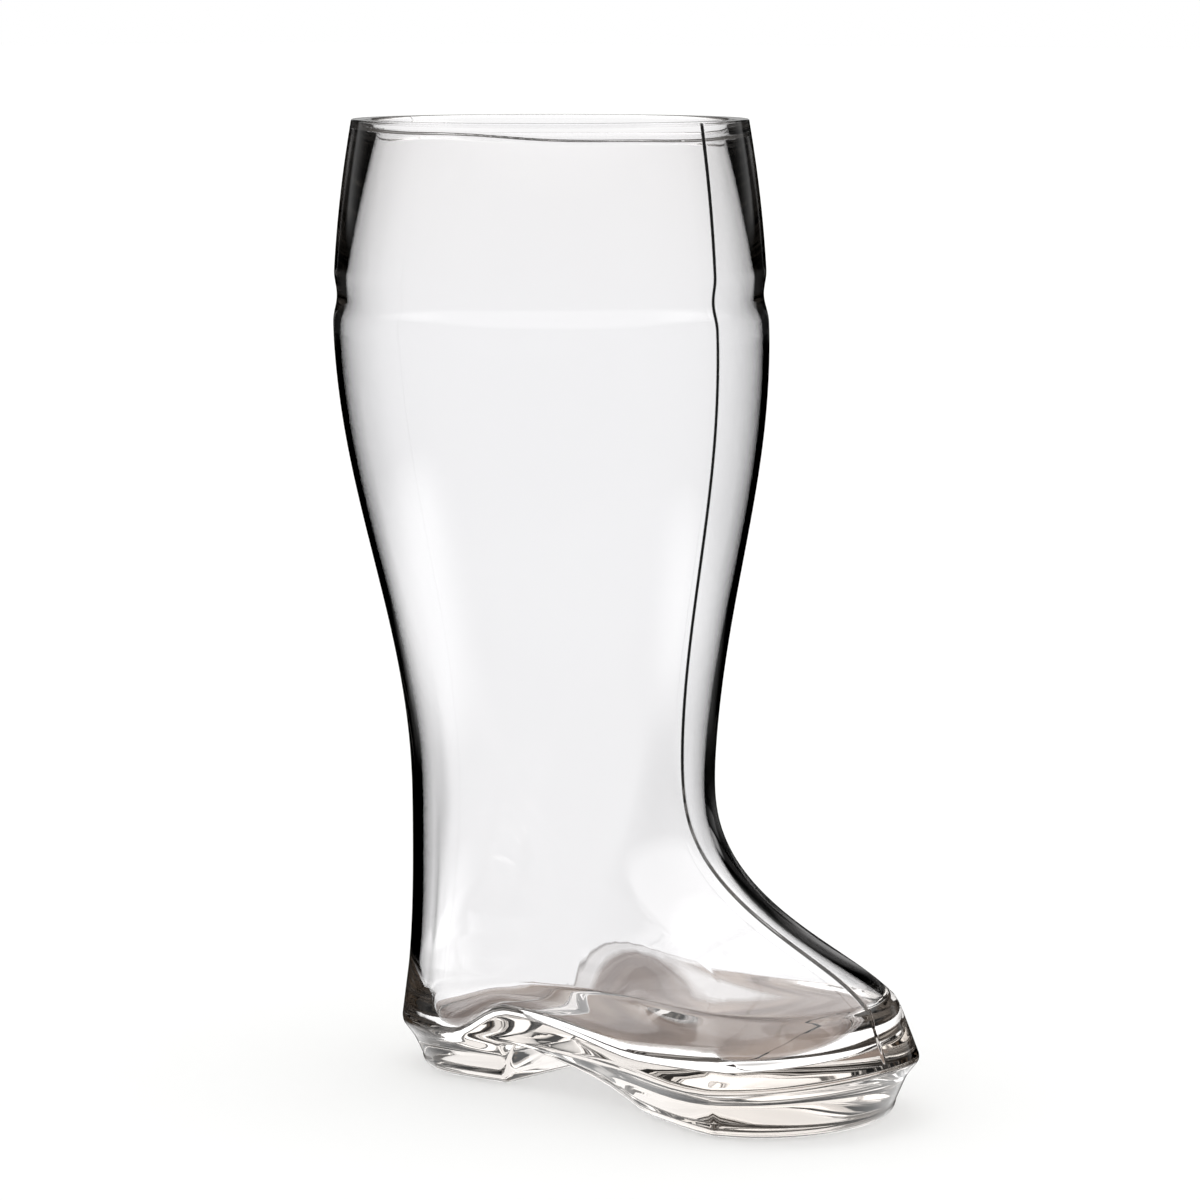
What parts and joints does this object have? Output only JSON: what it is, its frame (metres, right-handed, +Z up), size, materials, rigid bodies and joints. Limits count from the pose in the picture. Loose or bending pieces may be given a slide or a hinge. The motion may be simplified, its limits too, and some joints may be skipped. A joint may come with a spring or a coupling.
{
  "type": "beer boot glass",
  "caption": "Clear glass drinking vessel shaped like a tall boot, with a cuff and ring groove, hollow foot, and solid heel and forefoot sole to stand on.",
  "frame": {"origin": "on the table under the middle of the boot's length", "axes": "+X from heel to toe, +Z up along the leg to the rim"},
  "size_m": [0.1489, 0.0998, 0.22],
  "materials": {
    "clear_glass": "fire-polished clear soda-lime glass"
  },
  "bodies": {
    "root": {"cuff": "clear_glass", "boot_upper": "clear_glass", "heel": "clear_glass", "forefoot_sole": "clear_glass"}
  },
  "joints": []
}
